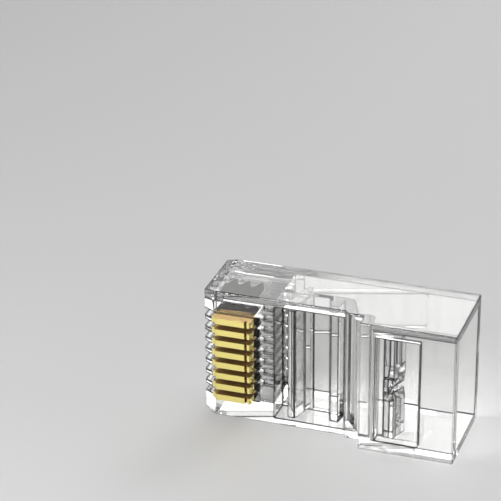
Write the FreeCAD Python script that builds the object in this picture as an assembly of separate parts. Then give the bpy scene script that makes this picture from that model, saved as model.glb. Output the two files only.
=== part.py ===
import FreeCAD, Part
import math
import os

# Eight-position modular plug, loose and not yet crimped, standing on one of its narrow sides.
# Every size is in millimetres. While the pieces are built, X runs from the nose to the cable end,
# Y is 0 on the latch side's face and falls towards the contact side, and Z is 0 at half width.
# At the end all pieces move so that the origin is the middle of the narrow side that rests.

# Outer form of the housing
width = 11.68
front_height = 6.37
rear_height = 8.11
collar_rise = 0.35
front_length = 12.50
collar_length = 1.55
rear_length = 8.10
nose_height = 5.74
nose_slope_length = 1.10
nose_side_taper = 0.22
edge_round = 0.12

# Walls of the housing
side_wall = 0.70
latch_wall = 0.75
contact_wall = 0.86
collar_wall = 0.72
step_wall = 0.80
chamber_height = 3.00
chamber_roof = 0.40
roof_slope_length = 0.95
inner_round = 0.40

# Comb, wire channels and their flared mouths
contact_count = 8
pitch = 1.02
channel_radius = 0.42
channel_floor = 0.28
channel_front_wall = 1.00
channel_block_rear = 6.30
mouth_length = 1.25
mouth_radius = 0.60
comb_gap_width = 0.66
comb_gap_depth = 1.30
comb_gap_rear = 5.02
nose_gap_depth = 2.70

# Contact blades
blade_front = 1.07
blade_length = 3.46
blade_thickness = 0.53
blade_height = 4.95
blade_proud = 0.90
crown_round = 0.22
front_shoulder = 0.26
tail_groove_width = 0.24
tail_groove_depth = 0.30
tail_ridge_length = 0.18
tail_slope_length = 0.12
shoulder_drop = 0.32
prong_count = 3
prong_height = 1.30
prong_tip = 0.06
prong_root_round = 0.12
blade_clearance = 0.03
crimp_travel = 1.25

# Front window with its fixed rib and small pocket
window_rail = 0.64
window_rear_margin = 0.04
window_slope_length = 0.70
rib_gap = 1.50
rib_length = 1.25
rib_top_drop = 0.95
rib_front_slope = 0.45
rib_rear_slope = 0.15
pocket_length = 0.70
pocket_width = 0.65
pocket_depth = 0.20
pocket_offset = 2.78

# Conductor clamp bar in the front window
conductor_slot_margin = 0.85
conductor_slot_length = 1.80
conductor_bar_top_drop = 0.15
conductor_bar_top_length = 0.65
conductor_bar_length = 1.30
conductor_bar_shoulder = 2.30
conductor_bar_reach = 3.90
conductor_nose_length = 0.30
conductor_end_gap = 0.10

# Rear window and cable clamp bar
rear_window_lead = 1.40
rear_window_length = 3.65
rear_window_side = 1.09
cable_web_drop = 0.67
cable_web_length = 0.47
cable_bar_top_drop = 0.45
cable_bar_top_length = 0.88
cable_bar_length = 1.42
cable_bar_reach = 2.20
cable_bar_end_gap = 0.20
cable_pad_width = 2.10
cable_pad_height = 0.22
cable_pad_round = 0.30
cable_notch_width = 0.50
cable_notch_depth = 0.90
saddle_radius = 3.10
saddle_depth = 0.42

# Living hinges of the clamp bars
web_thickness = 0.24
hinge_gap = 0.03

# Latch and its root on the nose
latch_angle = 17.5
latch_axis_forward = 0.25
latch_axis_height = 1.30
latch_thickness = 1.00
latch_tab_thickness = 0.85
latch_knuckle_radius = 0.62
latch_seat_gap = 0.03
latch_wide_half = 3.05
latch_tab_half = 1.70
latch_shoulder = 6.55
latch_length = 17.20
latch_tip_round = 0.50
root_reach = 1.60
root_depth = 0.30
root_top = 0.70
root_lip_top = 1.60
root_rear = 1.70
root_round = 0.45

# Places that follow from the sizes above
contact_face = -front_height
collar_face = -(front_height + collar_rise)
rear_face = -rear_height
collar_rear = front_length + collar_length
length = collar_rear + rear_length
chamber_roof_y = -(latch_wall + chamber_height)
window_floor_y = chamber_roof_y - chamber_roof
window_rear = front_length - window_rear_margin
cavity_half = width / 2 - side_wall
window_half = width / 2 - window_rail
conductor_slot_front = channel_block_rear + conductor_slot_margin
rib_front = conductor_slot_front + conductor_slot_length + rib_gap
rear_window_front = collar_rear + rear_window_lead
rear_window_half = width / 2 - rear_window_side
channel_axis_y = -(latch_wall + channel_floor + channel_radius)
slot_length = blade_length + 2 * blade_clearance
slot_width = blade_thickness + 2 * blade_clearance
crown_y = contact_face - blade_proud
prong_tip_y = crown_y + blade_height
slot_floor_y = prong_tip_y + crimp_travel + blade_clearance
overcut = 1.0


def contact_places():
    return [(i - (contact_count - 1) / 2) * pitch for i in range(contact_count)]


def point(x, y, z=0.0):
    return FreeCAD.Vector(x, y, z)


def outline_wire(corners):
    """A closed outline through (x, y, radius) corners. A corner with a radius becomes an arc."""
    edges = []
    ends = []
    for i, (x, y, radius) in enumerate(corners):
        here = point(x, y)
        before = point(*corners[i - 1][:2])
        after = point(*corners[(i + 1) % len(corners)][:2])
        if radius == 0:
            ends.append((here, here))
            continue
        back = (before - here).normalize()
        ahead = (after - here).normalize()
        half = back.getAngle(ahead) / 2
        reach = radius / math.tan(half)
        middle = (back + ahead).normalize() * (radius / math.sin(half) - radius)
        start = here + back * reach
        end = here + ahead * reach
        edges.append(Part.Arc(start, here + middle, end).toShape())
        ends.append((start, end))
    for i in range(len(ends)):
        start = ends[i - 1][1]
        end = ends[i][0]
        if (end - start).Length > 1e-6:
            edges.append(Part.LineSegment(start, end).toShape())
    return Part.Wire(Part.__sortEdges__(edges))


def prism(corners, half):
    """An outline in the XY plane, extruded the same way to both sides of half width."""
    face = Part.Face(outline_wire(corners))
    face.translate(point(0, 0, -half))
    return face.extrude(point(0, 0, 2 * half))


def plan_prism(corners, y_low, y_high):
    """An outline of (x, z, radius) corners, seen along Y and extruded from y_low to y_high."""
    face = Part.Face(outline_wire([(x, -z, radius) for x, z, radius in corners]))
    face.translate(point(0, 0, y_low))
    plan = face.extrude(point(0, 0, y_high - y_low))
    plan.rotate(point(0, 0, 0), point(1, 0, 0), -90)
    return plan


def block(x_low, x_high, y_low, y_high, z_low, z_high):
    size = (x_high - x_low, y_high - y_low, z_high - z_low)
    return Part.makeBox(*size, point(x_low, y_low, z_low))


def rod(radius, x, y, half):
    return Part.makeCylinder(radius, 2 * half, point(x, y, -half), point(0, 0, 1))


def outer_body():
    """The stepped outside: tapered nose, front section, collar and the taller rear section."""
    half = width / 2
    nose_half = half - nose_side_taper
    side = prism(
        [
            (0, 0, 0),
            (0, -nose_height, 0),
            (nose_slope_length, contact_face, 0),
            (front_length, contact_face, 0),
            (front_length, collar_face, 0),
            (collar_rear, collar_face, 0),
            (collar_rear, rear_face, 0),
            (length, rear_face, 0),
            (length, 0, 0),
        ],
        half,
    )
    plan = plan_prism(
        [
            (0, -nose_half, 0),
            (nose_slope_length, -half, 0),
            (length, -half, 0),
            (length, half, 0),
            (nose_slope_length, half, 0),
            (0, nose_half, 0),
        ],
        rear_face - overcut,
        overcut,
    )
    body = side.common(plan)
    return body.makeFillet(edge_round, body.Edges)


def inner_space():
    """The open inside, from the cable entry to the mouths of the wire channels."""
    roof_rear_y = collar_face + collar_wall
    slope_front = front_length - edge_round
    return prism(
        [
            (channel_block_rear, -latch_wall, 0),
            (length + overcut, -latch_wall, 0),
            (length + overcut, rear_face + contact_wall, 0),
            (collar_rear + step_wall, rear_face + contact_wall, inner_round),
            (collar_rear + step_wall, roof_rear_y, inner_round),
            (slope_front + roof_slope_length, roof_rear_y, inner_round),
            (slope_front, chamber_roof_y, inner_round),
            (channel_block_rear, chamber_roof_y, 0),
        ],
        cavity_half,
    )


def front_window():
    """The recess behind the contacts, with a sloped rear end."""
    outside = contact_face - overcut
    return prism(
        [
            (channel_block_rear, outside, 0),
            (window_rear, outside, 0),
            (window_rear, contact_face, 0),
            (window_rear - window_slope_length, window_floor_y, 0),
            (channel_block_rear, window_floor_y, 0),
        ],
        window_half,
    )


def window_rib():
    """The fixed cross rib on the recess's floor."""
    top = contact_face + rib_top_drop
    rib_rear = rib_front + rib_length
    sunk = window_floor_y + chamber_roof / 2
    return prism(
        [
            (rib_front, sunk, 0),
            (rib_front, window_floor_y, 0),
            (rib_front + rib_front_slope, top, 0),
            (rib_rear - rib_rear_slope, top, 0),
            (rib_rear, window_floor_y, 0),
            (rib_rear, sunk, 0),
        ],
        window_half + window_rail / 2,
    )


def conductor_slot():
    """The gap in the chamber's roof that the conductor clamp bar swings through."""
    rear = conductor_slot_front + conductor_slot_length
    inside = chamber_roof_y + overcut
    return block(conductor_slot_front, rear, window_floor_y, inside, -cavity_half, cavity_half)


def pocket():
    """The small rectangular pocket in the recess's floor, beside the clamp bar."""
    front = (channel_block_rear + conductor_slot_front - pocket_length) / 2
    low = -pocket_offset - pocket_width / 2
    top = window_floor_y + pocket_depth
    return block(front, front + pocket_length, window_floor_y, top, low, low + pocket_width)


def rear_window():
    """The opening in the rear section's contact wall that holds the cable clamp bar."""
    rear = rear_window_front + rear_window_length
    outside = rear_face - overcut
    inside = rear_face + contact_wall + overcut / 2
    half = rear_window_half
    return block(rear_window_front, rear, outside, inside, -half, half)


def wire_channel(z):
    """One round channel for a conductor, closed at the nose, with a flared mouth at its rear."""
    flare_front = channel_block_rear - mouth_length
    along = point(1, 0, 0)
    start = point(channel_front_wall, channel_axis_y, z)
    tube = Part.makeCylinder(channel_radius, flare_front - channel_front_wall, start, along)
    mouth_start = point(flare_front, channel_axis_y, z)
    flare = Part.makeCone(channel_radius, mouth_radius, mouth_length, mouth_start, along)
    return tube.fuse(flare)


def blade_slot(z):
    """The slot that guides one blade, and the wider comb gap around it that opens at the nose."""
    front = blade_front - blade_clearance
    outside = contact_face - overcut
    half = slot_width / 2
    deep = block(front, front + slot_length, outside, slot_floor_y, z - half, z + half)
    gap = comb_gap_width / 2
    comb_floor = contact_face + comb_gap_depth
    comb = block(front, comb_gap_rear, outside, comb_floor, z - gap, z + gap)
    nose_floor = -nose_height + nose_gap_depth
    nose_gap = block(-overcut, front, outside, nose_floor, z - gap, z + gap)
    return deep.fuse([comb, nose_gap])


def latch_root():
    """The block on the nose that the latch grows from, with a round seat for its hinge line."""
    root = prism(
        [
            (-root_reach, -root_depth, root_round),
            (root_rear, -root_depth, 0),
            (root_rear, 0, 0),
            (root_rear - 2 * root_top, root_top, 0),
            (-latch_axis_forward, root_top, 0),
            (-latch_axis_forward, root_lip_top, 0),
            (-root_reach, root_lip_top, root_round),
        ],
        latch_wide_half,
    )
    seat_radius = latch_knuckle_radius + latch_seat_gap
    return root.cut(rod(seat_radius, -latch_axis_forward, latch_axis_height, width))


def housing():
    body = outer_body().cut(inner_space())
    body = body.cut(front_window()).fuse(window_rib())
    body = body.cut([conductor_slot(), pocket(), rear_window()])
    for z in contact_places():
        body = body.cut(wire_channel(z))
        body = body.cut(blade_slot(z))
    return body.fuse(latch_root()).removeSplitter()


def contact(z):
    """One stamped blade: a crown with a groove before its tail, and sharp prongs below."""
    rear = blade_front + blade_length
    shoulder_y = crown_y + shoulder_drop
    prong_root_y = prong_tip_y - prong_height
    prong_pitch = blade_length / prong_count
    ridge_rear = rear - tail_slope_length
    groove_rear = ridge_rear - tail_ridge_length
    groove_front = groove_rear - tail_groove_width
    groove_y = crown_y + tail_groove_depth
    corners = [
        (blade_front, shoulder_y, 0),
        (blade_front + front_shoulder, shoulder_y, 0),
        (blade_front + front_shoulder, crown_y, crown_round),
        (groove_front, crown_y, 0),
        (groove_front + tail_groove_width / 4, groove_y, 0),
        (groove_rear - tail_groove_width / 4, groove_y, 0),
        (groove_rear, crown_y, 0),
        (ridge_rear, crown_y, 0),
        (rear, shoulder_y, 0),
    ]
    for i in range(prong_count):
        middle = rear - (i + 0.5) * prong_pitch
        valley_round = prong_root_round if i > 0 else 0
        corners.append((middle + prong_pitch / 2, prong_root_y, valley_round))
        corners.append((middle + prong_tip, prong_tip_y, 0))
        corners.append((middle - prong_tip, prong_tip_y, 0))
    corners.append((blade_front, prong_root_y, 0))
    blade = prism(corners, blade_thickness / 2)
    blade.translate(point(0, 0, z))
    return blade


def hinge_web(axis_x, axis_y, reach, half):
    """A thin flat web whose free edge is rounded about its hinge line."""
    thin = web_thickness / 2
    flat = block(axis_x, axis_x + reach, axis_y - thin, axis_y + thin, -half, half)
    return flat.fuse(rod(thin, axis_x, axis_y, half))


def conductor_clamp_bar():
    """The wedge bar that folds onto the conductors about its web at the slot's front edge."""
    half = cavity_half - conductor_end_gap
    axis_x = conductor_slot_front + hinge_gap + web_thickness / 2
    axis_y = (window_floor_y + chamber_roof_y) / 2
    front = axis_x + web_thickness / 2
    top = contact_face + conductor_bar_top_drop
    shoulder = contact_face + conductor_bar_shoulder
    nose = contact_face + conductor_bar_reach
    rear = front + conductor_bar_length
    bar = prism(
        [
            (front, top, 0),
            (front + conductor_bar_top_length, top, 0),
            (rear, shoulder, 0),
            (rear - conductor_nose_length, nose, 0),
            (rear - 2 * conductor_nose_length, nose, 0),
            (front + web_thickness, axis_y + web_thickness / 2, 0),
            (front, axis_y - web_thickness / 2, 0),
        ],
        half,
    )
    return bar.fuse(hinge_web(axis_x, axis_y, web_thickness, half)).removeSplitter()


def cable_clamp_bar():
    """The bar that folds onto the cable's jacket, with a pressing pad on top and hollowed below."""
    half = rear_window_half - cable_bar_end_gap
    axis_x = rear_window_front + hinge_gap + web_thickness / 2
    axis_y = rear_face + cable_web_drop
    front = axis_x + cable_web_length
    top = rear_face + cable_bar_top_drop
    bottom = rear_face + cable_bar_reach
    rear = front + cable_bar_length
    bar = prism(
        [
            (front, top, 0),
            (front + cable_bar_top_length, top, 0),
            (rear, bottom - web_thickness, 0),
            (rear - web_thickness, bottom, 0),
            (front + web_thickness, bottom, 0),
        ],
        half,
    )
    bar = bar.fuse(hinge_web(axis_x, axis_y, cable_web_length + web_thickness, half))
    pad_half = cable_pad_width / 2
    pad_rear = front + cable_bar_top_length
    pad = plan_prism(
        [
            (front, -pad_half, cable_pad_round),
            (pad_rear, -pad_half, cable_pad_round),
            (pad_rear, pad_half, cable_pad_round),
            (front, pad_half, cable_pad_round),
        ],
        top - cable_pad_height,
        top + web_thickness,
    )
    bar = bar.fuse(pad)
    saddle_y = bottom - saddle_depth + saddle_radius
    saddle_start = point(front - overcut, saddle_y, 0)
    saddle_run = cable_bar_length + 2 * overcut
    bar = bar.cut(Part.makeCylinder(saddle_radius, saddle_run, saddle_start, point(1, 0, 0)))
    notch_half = cable_notch_width / 2
    notch_front = front + cable_bar_length - cable_notch_depth
    notch = block(notch_front, rear + overcut, top - overcut, bottom, -notch_half, notch_half)
    return bar.cut(notch).removeSplitter()


def latch():
    """The lever: a round hinge line, a wide part that ends in two catch shoulders, and a tab."""
    upper = latch_thickness / 2
    side = prism(
        [
            (0, upper, 0),
            (latch_length, upper, latch_tab_thickness / 3),
            (latch_length, upper - latch_tab_thickness, latch_tab_thickness / 3),
            (latch_shoulder, upper - latch_tab_thickness, 0),
            (latch_shoulder - latch_thickness, -upper, 0),
            (0, -upper, 0),
        ],
        latch_wide_half,
    )
    plan = plan_prism(
        [
            (0, latch_wide_half, 0),
            (latch_shoulder, latch_wide_half, 0),
            (latch_shoulder, latch_tab_half, 0),
            (latch_length, latch_tab_half, latch_tip_round),
            (latch_length, -latch_tab_half, latch_tip_round),
            (latch_shoulder, -latch_tab_half, 0),
            (latch_shoulder, -latch_wide_half, 0),
            (0, -latch_wide_half, 0),
        ],
        -latch_thickness,
        latch_thickness,
    )
    lever = side.common(plan)
    lever = lever.fuse(rod(latch_knuckle_radius, 0, 0, latch_wide_half)).removeSplitter()
    lever.rotate(point(0, 0, 0), point(0, 0, 1), latch_angle)
    lever.translate(point(-latch_axis_forward, latch_axis_height, 0))
    return lever


pieces = {
    "housing": housing(),
    "latch": latch(),
    "cable_clamp_bar": cable_clamp_bar(),
    "conductor_clamp_bar": conductor_clamp_bar(),
}
for number, place in enumerate(reversed(contact_places()), 1):
    pieces["contact_%d" % number] = contact(place)

os.makedirs("parts", exist_ok=True)
for name, shape in pieces.items():
    shape.translate(point(-length / 2, rear_height / 2, width / 2))
    shape.exportStep("parts/%s.step" % name)
    box = shape.BoundBox
    print(name, len(shape.Solids), shape.isValid(), round(shape.Volume, 3), box)
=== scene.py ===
import bpy
import math
from mathutils import Matrix, Vector


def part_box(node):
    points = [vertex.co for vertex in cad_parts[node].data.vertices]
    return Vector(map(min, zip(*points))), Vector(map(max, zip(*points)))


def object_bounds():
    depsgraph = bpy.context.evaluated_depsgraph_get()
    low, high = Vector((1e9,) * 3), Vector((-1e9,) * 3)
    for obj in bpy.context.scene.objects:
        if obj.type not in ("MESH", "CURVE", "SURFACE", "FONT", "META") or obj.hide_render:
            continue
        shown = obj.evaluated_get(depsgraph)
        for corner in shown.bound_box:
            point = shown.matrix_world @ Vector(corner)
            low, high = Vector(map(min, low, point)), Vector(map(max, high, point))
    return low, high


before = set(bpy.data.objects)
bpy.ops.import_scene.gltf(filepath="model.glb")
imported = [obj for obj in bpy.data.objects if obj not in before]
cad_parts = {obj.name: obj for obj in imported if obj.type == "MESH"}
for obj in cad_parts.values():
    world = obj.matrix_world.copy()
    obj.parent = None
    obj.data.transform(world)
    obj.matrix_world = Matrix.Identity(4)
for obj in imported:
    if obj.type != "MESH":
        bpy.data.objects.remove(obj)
cad_low, cad_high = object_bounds()

# The housing.
# One clear polycarbonate moulding with polished faces: the tool leaves it glassy, with a faint
# waviness from the melt's flow and a very slight haze. Its edges are softly broken.
mm = 0.001
wave_height = 0.1 * mm


def flow_group():
    """A shared group: the slow waves that a melt leaves in a moulded face, and its faint haze."""
    group = bpy.data.node_groups.new("melt_flow", "ShaderNodeTree")
    group.interface.new_socket("Wave Size", in_out="INPUT", socket_type="NodeSocketFloat")
    group.interface.new_socket("Wave Depth", in_out="INPUT", socket_type="NodeSocketFloat")
    group.interface.new_socket("Smooth", in_out="INPUT", socket_type="NodeSocketFloat")
    group.interface.new_socket("Hazy", in_out="INPUT", socket_type="NodeSocketFloat")
    group.interface.new_socket("Normal", in_out="OUTPUT", socket_type="NodeSocketVector")
    group.interface.new_socket("Roughness", in_out="OUTPUT", socket_type="NodeSocketFloat")
    nodes = group.nodes
    links = group.links
    taken = nodes.new("NodeGroupInput")
    given = nodes.new("NodeGroupOutput")
    place = nodes.new("ShaderNodeTexCoord")
    wave = nodes.new("ShaderNodeTexNoise")
    wave.inputs["Detail"].default_value = 1.5
    wave.inputs["Roughness"].default_value = 0.4
    bump = nodes.new("ShaderNodeBump")
    bump.inputs["Distance"].default_value = wave_height
    haze = nodes.new("ShaderNodeTexNoise")
    haze.inputs["Detail"].default_value = 3.0
    spread = nodes.new("ShaderNodeMapRange")
    spread.inputs["From Min"].default_value = 0.35
    spread.inputs["From Max"].default_value = 0.75
    links.new(place.outputs["Object"], wave.inputs["Vector"])
    links.new(place.outputs["Object"], haze.inputs["Vector"])
    links.new(taken.outputs["Wave Size"], wave.inputs["Scale"])
    links.new(taken.outputs["Wave Size"], haze.inputs["Scale"])
    links.new(wave.outputs["Fac"], bump.inputs["Height"])
    links.new(taken.outputs["Wave Depth"], bump.inputs["Strength"])
    links.new(haze.outputs["Fac"], spread.inputs["Value"])
    links.new(taken.outputs["Smooth"], spread.inputs["To Min"])
    links.new(taken.outputs["Hazy"], spread.inputs["To Max"])
    links.new(bump.outputs["Normal"], given.inputs["Normal"])
    links.new(spread.outputs["Result"], given.inputs["Roughness"])
    return group


melt_flow = flow_group()

# A rounded edge turns its normal away from the face's. The mask starts at the first cosine of that
# turn and is full at the second.
# Where the mask is full, the plastic's colour is painted black: painted shade on its edges.
edge_starts = 0.999
edge_is_full = 0.985
edge_reach = 0.20 * mm


def edge_group():
    """A shared group: a mask that is 1 on the softly broken edges, where the plastic is painted black as
    painted shade.
    """
    group = bpy.data.node_groups.new("painted_edge_mask", "ShaderNodeTree")
    group.interface.new_socket("Reach", in_out="INPUT", socket_type="NodeSocketFloat")
    group.interface.new_socket("Edge", in_out="OUTPUT", socket_type="NodeSocketFloat")
    nodes = group.nodes
    links = group.links
    taken = nodes.new("NodeGroupInput")
    given = nodes.new("NodeGroupOutput")
    rounded = nodes.new("ShaderNodeBevel")
    rounded.samples = 8
    surface = nodes.new("ShaderNodeNewGeometry")
    along = nodes.new("ShaderNodeVectorMath")
    along.operation = "DOT_PRODUCT"
    straight = nodes.new("ShaderNodeMath")
    straight.operation = "ABSOLUTE"
    edge = nodes.new("ShaderNodeMapRange")
    edge.inputs["From Min"].default_value = edge_starts
    edge.inputs["From Max"].default_value = edge_is_full
    links.new(taken.outputs["Reach"], rounded.inputs["Radius"])
    links.new(rounded.outputs["Normal"], along.inputs[0])
    links.new(surface.outputs["Normal"], along.inputs[1])
    links.new(along.outputs["Value"], straight.inputs[0])
    links.new(straight.outputs["Value"], edge.inputs["Value"])
    links.new(edge.outputs["Result"], given.inputs["Edge"])
    return group


painted_edge_mask = edge_group()

refractive_index = 1.585
dark_per_metre = 46.0
face_tint = (0.985, 0.985, 0.98, 1.0)
# Painted shade: the black painted on the plastic's edges.
painted_edge_shade = (0.0, 0.0, 0.0, 1.0)
shadow_tint = (0.95, 0.95, 0.95, 1.0)


def clear_polycarbonate(name, wave_size, wave_depth, haze):
    """Clear plastic that darkens along long paths, with black painted shade on its edges, and lets light
    through to what lies under it.
    """
    material = bpy.data.materials.new(name)
    material.use_nodes = True
    nodes = material.node_tree.nodes
    links = material.node_tree.links
    shader = nodes["Principled BSDF"]
    shader.inputs["IOR"].default_value = refractive_index
    shader.inputs["Transmission Weight"].default_value = 1.0
    flow = nodes.new("ShaderNodeGroup")
    flow.node_tree = melt_flow
    flow.inputs["Wave Size"].default_value = wave_size
    flow.inputs["Wave Depth"].default_value = wave_depth
    flow.inputs["Smooth"].default_value = 0.0
    flow.inputs["Hazy"].default_value = haze
    links.new(flow.outputs["Normal"], shader.inputs["Normal"])
    links.new(flow.outputs["Roughness"], shader.inputs["Roughness"])
    edge = nodes.new("ShaderNodeGroup")
    edge.node_tree = painted_edge_mask
    edge.inputs["Reach"].default_value = edge_reach
    # Painted shade: the plastic's colour turns black along its edges.
    tint_and_edge_shade = nodes.new("ShaderNodeMix")
    tint_and_edge_shade.data_type = "RGBA"
    tint_and_edge_shade.inputs["A"].default_value = face_tint
    tint_and_edge_shade.inputs["B"].default_value = painted_edge_shade
    links.new(edge.outputs["Edge"], tint_and_edge_shade.inputs["Factor"])
    links.new(tint_and_edge_shade.outputs["Result"], shader.inputs["Base Color"])
    depth = nodes.new("ShaderNodeVolumeAbsorption")
    depth.inputs["Color"].default_value = (0.0, 0.0, 0.0, 1.0)
    depth.inputs["Density"].default_value = dark_per_metre
    links.new(depth.outputs["Volume"], nodes["Material Output"].inputs["Volume"])
    passing = nodes.new("ShaderNodeBsdfTransparent")
    passing.inputs["Color"].default_value = shadow_tint
    path = nodes.new("ShaderNodeLightPath")
    mix = nodes.new("ShaderNodeMixShader")
    links.new(path.outputs["Is Shadow Ray"], mix.inputs["Fac"])
    links.new(shader.outputs["BSDF"], mix.inputs[1])
    links.new(passing.outputs["BSDF"], mix.inputs[2])
    links.new(mix.outputs["Shader"], nodes["Material Output"].inputs["Surface"])
    return material


housing_plastic = clear_polycarbonate("housing_plastic", wave_size=260.0, wave_depth=0.05, haze=0.02)

# Where a blade is pressed in, its flanks bear on the slot's walls and no film of air is left between
# them, so the wall has no gloss of its own there and the metal shows straight through the plastic.
contact_pitch = 1.02 * mm
contact_count = 8
slot_reach = 0.36 * mm
wetted_below_crown = 0.95 * mm
wetted_past_front = 0.04 * mm
wetted_short_of_rear = 0.05 * mm
blade_low, blade_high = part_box("contact_1")


def product(nodes, links, first, second):
    """A mask that is 1 where both masks are."""
    both = nodes.new("ShaderNodeMath")
    both.operation = "MULTIPLY"
    links.new(first, both.inputs[0])
    links.new(second, both.inputs[1])
    return both.outputs["Value"]


def inside(nodes, links, socket, low, high):
    """A mask that is 1 where a coordinate lies between low and high."""
    above = nodes.new("ShaderNodeMath")
    above.operation = "GREATER_THAN"
    above.inputs[1].default_value = low
    below = nodes.new("ShaderNodeMath")
    below.operation = "LESS_THAN"
    below.inputs[1].default_value = high
    links.new(socket, above.inputs[0])
    links.new(socket, below.inputs[0])
    return product(nodes, links, above.outputs["Value"], below.outputs["Value"])


def wetted_walls(material):
    """Makes the slot walls beside the buried blades clear, on a plastic that is otherwise kept."""
    nodes = material.node_tree.nodes
    links = material.node_tree.links
    place = nodes.new("ShaderNodeTexCoord")
    where = nodes.new("ShaderNodeSeparateXYZ")
    links.new(place.outputs["Object"], where.inputs["Vector"])
    lowest_low, lowest_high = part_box("contact_%d" % contact_count)
    lowest_middle = (lowest_low[2] + lowest_high[2]) / 2
    slots = nodes.new("ShaderNodeMath")
    slots.operation = "SUBTRACT"
    slots.inputs[1].default_value = lowest_middle - contact_pitch / 2
    links.new(where.outputs["Z"], slots.inputs[0])
    across = nodes.new("ShaderNodeMath")
    across.operation = "FLOORED_MODULO"
    across.inputs[1].default_value = contact_pitch
    links.new(slots.outputs["Value"], across.inputs[0])
    slot_low = contact_pitch / 2 - slot_reach
    slot_high = contact_pitch / 2 + slot_reach
    in_slot = inside(nodes, links, across.outputs["Value"], slot_low, slot_high)
    row = inside(nodes, links, slots.outputs["Value"], 0.0, contact_count * contact_pitch)
    front_end = blade_low[0] - wetted_past_front
    rear_end = blade_high[0] - wetted_short_of_rear
    along = inside(nodes, links, where.outputs["X"], front_end, rear_end)
    deep = inside(nodes, links, where.outputs["Y"], blade_low[1] + wetted_below_crown, blade_high[1])
    walls = product(nodes, links, in_slot, row)
    wetted = product(nodes, links, walls, product(nodes, links, along, deep))
    bare = nodes.new("ShaderNodeMath")
    bare.operation = "SUBTRACT"
    bare.inputs[0].default_value = 1.0
    links.new(wetted, bare.inputs[1])
    links.new(bare.outputs["Value"], nodes["Principled BSDF"].inputs["Alpha"])


wetted_walls(housing_plastic)


def dress(node, material):
    """Gives a piece of the frame its one material."""
    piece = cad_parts[node]
    piece.data.materials.clear()
    piece.data.materials.append(material)


dress("housing", housing_plastic)

# The latch.
# Part of the same shot as the housing, joined to it at a thin living hinge on the nose. It is thinner
# than the walls around it, so it cools faster and stays a little wavier.
latch_plastic = clear_polycarbonate("latch_plastic", wave_size=340.0, wave_depth=0.08, haze=0.03)
dress("latch", latch_plastic)

# The two clamp bars.
# Solid wedges of the same clear plastic, each held by a thin web in its window until the plug is crimped.
clamp_plastic = clear_polycarbonate("clamp_plastic", wave_size=300.0, wave_depth=0.10, haze=0.03)
dress("cable_clamp_bar", clamp_plastic)
dress("conductor_clamp_bar", clamp_plastic)

# The eight contact blades.
# Stamped from copper alloy sheet. The crown, where a jack's springs rub, is plated with bright gold, the
# flanks, the rolled faces of the sheet, are a darker, browner gold and rougher, the groove across the
# crown is painted brown as painted shade, and the buried part, bare metal, is painted near-black and matt
# as painted shade.
plated_depth = 0.78 * mm
plating_fade = 0.12 * mm
crown_y = blade_low[1]
groove_high = blade_high[0] - 0.30 * mm
groove_low = groove_high - 0.24 * mm
groove_starts = 0.03 * mm
crown_gold = [(1.0, 0.84, 0.27, 1.0), (1.0, 0.90, 0.34, 1.0)]
rolled_gold = [(0.62, 0.42, 0.17, 1.0), (0.80, 0.58, 0.26, 1.0)]
# Painted shade: the brown painted in the groove across the crown.
painted_groove_shade = (0.36, 0.24, 0.09, 1.0)
# Painted shade: the near-black painted on the bare buried metal.
painted_buried_shade = (0.022, 0.021, 0.018, 1.0)
crown_roughness = [0.16, 0.30]
flank_roughness = 0.42
buried_roughness = 0.95
grain_per_metre = (700.0, 2600.0, 9000.0)
grain_strength = 0.03
grain_height = 0.02 * mm


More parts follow.
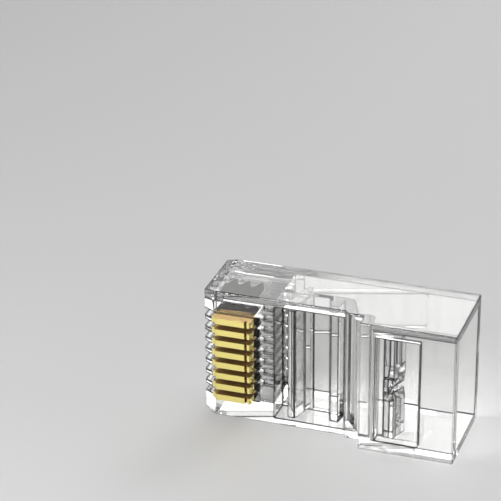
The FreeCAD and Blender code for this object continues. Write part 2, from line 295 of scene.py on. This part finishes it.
def gold_blade():
    """Gold on the crown and flanks with the sheet's rolled grain, painted shade in the crown's groove,
    and painted shade, near-black and matt, on the bare metal further down.
    """
    material = bpy.data.materials.new("gold_blade")
    material.use_nodes = True
    nodes = material.node_tree.nodes
    links = material.node_tree.links
    shader = nodes["Principled BSDF"]
    place = nodes.new("ShaderNodeTexCoord")
    facing = nodes.new("ShaderNodeSeparateXYZ")
    links.new(place.outputs["Normal"], facing.inputs["Vector"])
    flank = nodes.new("ShaderNodeMath")
    flank.operation = "ABSOLUTE"
    links.new(facing.outputs["Z"], flank.inputs[0])
    where = nodes.new("ShaderNodeSeparateXYZ")
    links.new(place.outputs["Object"], where.inputs["Vector"])
    stretch = nodes.new("ShaderNodeMapping")
    stretch.inputs["Scale"].default_value = grain_per_metre
    grain = nodes.new("ShaderNodeTexNoise")
    grain.inputs["Scale"].default_value = 1.0
    grain.inputs["Detail"].default_value = 2.0
    links.new(place.outputs["Object"], stretch.inputs["Vector"])
    links.new(stretch.outputs["Vector"], grain.inputs["Vector"])
    crown = nodes.new("ShaderNodeMix")
    crown.data_type = "RGBA"
    crown.inputs["A"].default_value, crown.inputs["B"].default_value = crown_gold
    links.new(grain.outputs["Fac"], crown.inputs["Factor"])
    rolled = nodes.new("ShaderNodeMix")
    rolled.data_type = "RGBA"
    rolled.inputs["A"].default_value, rolled.inputs["B"].default_value = rolled_gold
    links.new(grain.outputs["Fac"], rolled.inputs["Factor"])
    sheet = nodes.new("ShaderNodeMix")
    sheet.data_type = "RGBA"
    links.new(flank.outputs["Value"], sheet.inputs["Factor"])
    links.new(crown.outputs["Result"], sheet.inputs["A"])
    links.new(rolled.outputs["Result"], sheet.inputs["B"])
    depth = nodes.new("ShaderNodeMapRange")
    depth.inputs["From Min"].default_value = crown_y + plated_depth
    depth.inputs["From Max"].default_value = crown_y + plated_depth + plating_fade
    links.new(where.outputs["Y"], depth.inputs["Value"])
    # Painted shade: the groove's floor and walls, below the crown's face and away from the flanks, are
    # painted brown.
    groove = inside(nodes, links, where.outputs["X"], groove_low, groove_high)
    below = nodes.new("ShaderNodeMath")
    below.operation = "GREATER_THAN"
    below.inputs[1].default_value = crown_y + groove_starts
    links.new(where.outputs["Y"], below.inputs[0])
    edgewise = nodes.new("ShaderNodeMath")
    edgewise.operation = "LESS_THAN"
    edgewise.inputs[1].default_value = 0.5
    links.new(flank.outputs["Value"], edgewise.inputs[0])
    groove_shade_mask = product(nodes, links, groove, below.outputs["Value"])
    groove_shade_mask = product(nodes, links, groove_shade_mask, edgewise.outputs["Value"])
    groove_shade_mix = nodes.new("ShaderNodeMix")
    groove_shade_mix.data_type = "RGBA"
    groove_shade_mix.inputs["B"].default_value = painted_groove_shade
    links.new(groove_shade_mask, groove_shade_mix.inputs["Factor"])
    links.new(sheet.outputs["Result"], groove_shade_mix.inputs["A"])
    # Painted shade: below the plating the blade turns near-black.
    plating_and_buried_shade = nodes.new("ShaderNodeMix")
    plating_and_buried_shade.data_type = "RGBA"
    plating_and_buried_shade.inputs["B"].default_value = painted_buried_shade
    links.new(depth.outputs["Result"], plating_and_buried_shade.inputs["Factor"])
    links.new(groove_shade_mix.outputs["Result"], plating_and_buried_shade.inputs["A"])
    links.new(plating_and_buried_shade.outputs["Result"], shader.inputs["Base Color"])
    polish = nodes.new("ShaderNodeMapRange")
    polish.inputs["To Min"].default_value, polish.inputs["To Max"].default_value = crown_roughness
    links.new(grain.outputs["Fac"], polish.inputs["Value"])
    rough_flank = nodes.new("ShaderNodeMix")
    rough_flank.inputs["B"].default_value = flank_roughness
    links.new(flank.outputs["Value"], rough_flank.inputs["Factor"])
    links.new(polish.outputs["Result"], rough_flank.inputs["A"])
    matt = nodes.new("ShaderNodeMix")
    matt.inputs["B"].default_value = buried_roughness
    links.new(depth.outputs["Result"], matt.inputs["Factor"])
    links.new(rough_flank.outputs["Result"], matt.inputs["A"])
    links.new(matt.outputs["Result"], shader.inputs["Roughness"])
    metal = nodes.new("ShaderNodeMapRange")
    metal.inputs["To Min"].default_value = 1.0
    metal.inputs["To Max"].default_value = 0.0
    links.new(depth.outputs["Result"], metal.inputs["Value"])
    links.new(metal.outputs["Result"], shader.inputs["Metallic"])
    bump = nodes.new("ShaderNodeBump")
    bump.inputs["Strength"].default_value = grain_strength
    bump.inputs["Distance"].default_value = grain_height
    links.new(grain.outputs["Fac"], bump.inputs["Height"])
    links.new(bump.outputs["Normal"], shader.inputs["Normal"])
    return material


gold = gold_blade()
for number in range(1, contact_count + 1):
    dress("contact_%d" % number, gold)

# The stage.
# A plain pale floor in a soft studio: pale at the horizon, brightest in a band above it, dimmer overhead.
# The plug stands on the floor with a hair of air under it, as moulded plastic does.
floor_half = 0.6
floor_drop = 0.03 * mm
floor_grey = (0.60, 0.60, 0.60, 1.0)
floor_roughness = 0.55
floor_z = cad_low.z - floor_drop
floor_mesh = bpy.data.meshes.new("floor")
floor_corners = [(-floor_half, -floor_half), (floor_half, -floor_half)]
floor_corners += [(floor_half, floor_half), (-floor_half, floor_half)]
floor_mesh.from_pydata([(x, y, floor_z) for x, y in floor_corners], [], [(0, 1, 2, 3)])
floor = bpy.data.objects.new("floor", floor_mesh)
bpy.context.scene.collection.objects.link(floor)
floor_paint = bpy.data.materials.new("floor_paint")
floor_paint.use_nodes = True
floor_shader = floor_paint.node_tree.nodes["Principled BSDF"]
floor_shader.inputs["Base Color"].default_value = floor_grey
floor_shader.inputs["Roughness"].default_value = floor_roughness
floor_mesh.materials.append(floor_paint)


def soft_lamp(name, place, aim, power):
    """A small softbox at a place, turned to what it aims at, in metres and watts."""
    lamp = bpy.data.lights.new(name, "AREA")
    lamp.shape = "SQUARE"
    lamp.size = lamp_side
    lamp.energy = power
    holder = bpy.data.objects.new(name, lamp)
    holder.location = place
    holder.rotation_euler = (Vector(aim) - Vector(place)).to_track_quat("-Z", "Y").to_euler()
    bpy.context.scene.collection.objects.link(holder)


lamp_side = 0.05
soft_lamp("front_pool", place=(-0.05, -0.12, 0.10), aim=(-0.015, -0.03, 0.0), power=0.16)
soft_lamp("back_pool", place=(0.03, 0.13, 0.11), aim=(0.0, 0.03, 0.0), power=0.05)

# The sky's brightness by the sine of the height above the horizon, and how far it falls to the sides.
sky_stops = [(0.30, 0.52), (0.36, 2.1), (0.52, 2.1), (0.60, 0.35)]
side_starts = 0.42
side_is_full = 0.62
side_strength = 0.5
world = bpy.data.worlds.new("studio")
bpy.context.scene.world = world
world.use_nodes = True
room = world.node_tree.nodes
wires = world.node_tree.links
direction = room.new("ShaderNodeTexCoord")
split = room.new("ShaderNodeSeparateXYZ")
sky = room.new("ShaderNodeValToRGB")
for place, _ in sky_stops[1:-1]:
    sky.color_ramp.elements.new(place)
for stop, (place, glow) in zip(sky.color_ramp.elements, sky_stops):
    stop.position = place
    stop.color = (glow, glow, glow, 1)
sideways = room.new("ShaderNodeMath")
sideways.operation = "ABSOLUTE"
dimming = room.new("ShaderNodeMapRange")
dimming.interpolation_type = "SMOOTHSTEP"
dimming.inputs["From Min"].default_value = side_starts
dimming.inputs["From Max"].default_value = side_is_full
dimming.inputs["To Min"].default_value = 1.0
dimming.inputs["To Max"].default_value = side_strength
wires.new(direction.outputs["Generated"], split.inputs["Vector"])
wires.new(split.outputs["Z"], sky.inputs["Fac"])
wires.new(split.outputs["X"], sideways.inputs[0])
wires.new(sideways.outputs["Value"], dimming.inputs["Value"])
wires.new(sky.outputs["Color"], room["Background"].inputs["Color"])
wires.new(dimming.outputs["Result"], room["Background"].inputs["Strength"])

# The camera, from the photograph's side: a long lens to the left of the cable end, looking down.
camera_azimuth = math.radians(19.1)
camera_elevation = math.radians(25.9)
camera_roll = math.radians(-0.4)
camera_distance = 0.196
camera_aim = Vector((-0.0090, 0.0041, 0.0126))
focal_pixels = 2321.0
frame_pixels = 501.0
lens = bpy.data.cameras.new("camera")
lens.sensor_width = 36.0
lens.lens = focal_pixels / frame_pixels * lens.sensor_width
lens.clip_start = 0.01
camera = bpy.data.objects.new("camera", lens)
bpy.context.scene.collection.objects.link(camera)
back = Vector(
    (
        math.sin(camera_azimuth) * math.cos(camera_elevation),
        -math.cos(camera_azimuth) * math.cos(camera_elevation),
        math.sin(camera_elevation),
    )
)
camera.matrix_world = (
    Matrix.Translation(camera_aim + back * camera_distance)
    @ back.to_track_quat("Z", "Y").to_matrix().to_4x4()
    @ Matrix.Rotation(camera_roll, 4, "Z")
)
bpy.context.scene.camera = camera

cycles = bpy.context.scene.cycles
cycles.max_bounces = 32
cycles.transmission_bounces = 32
cycles.glossy_bounces = 16
cycles.diffuse_bounces = 4
cycles.transparent_max_bounces = 32
bpy.context.scene.view_settings.view_transform = "Standard"
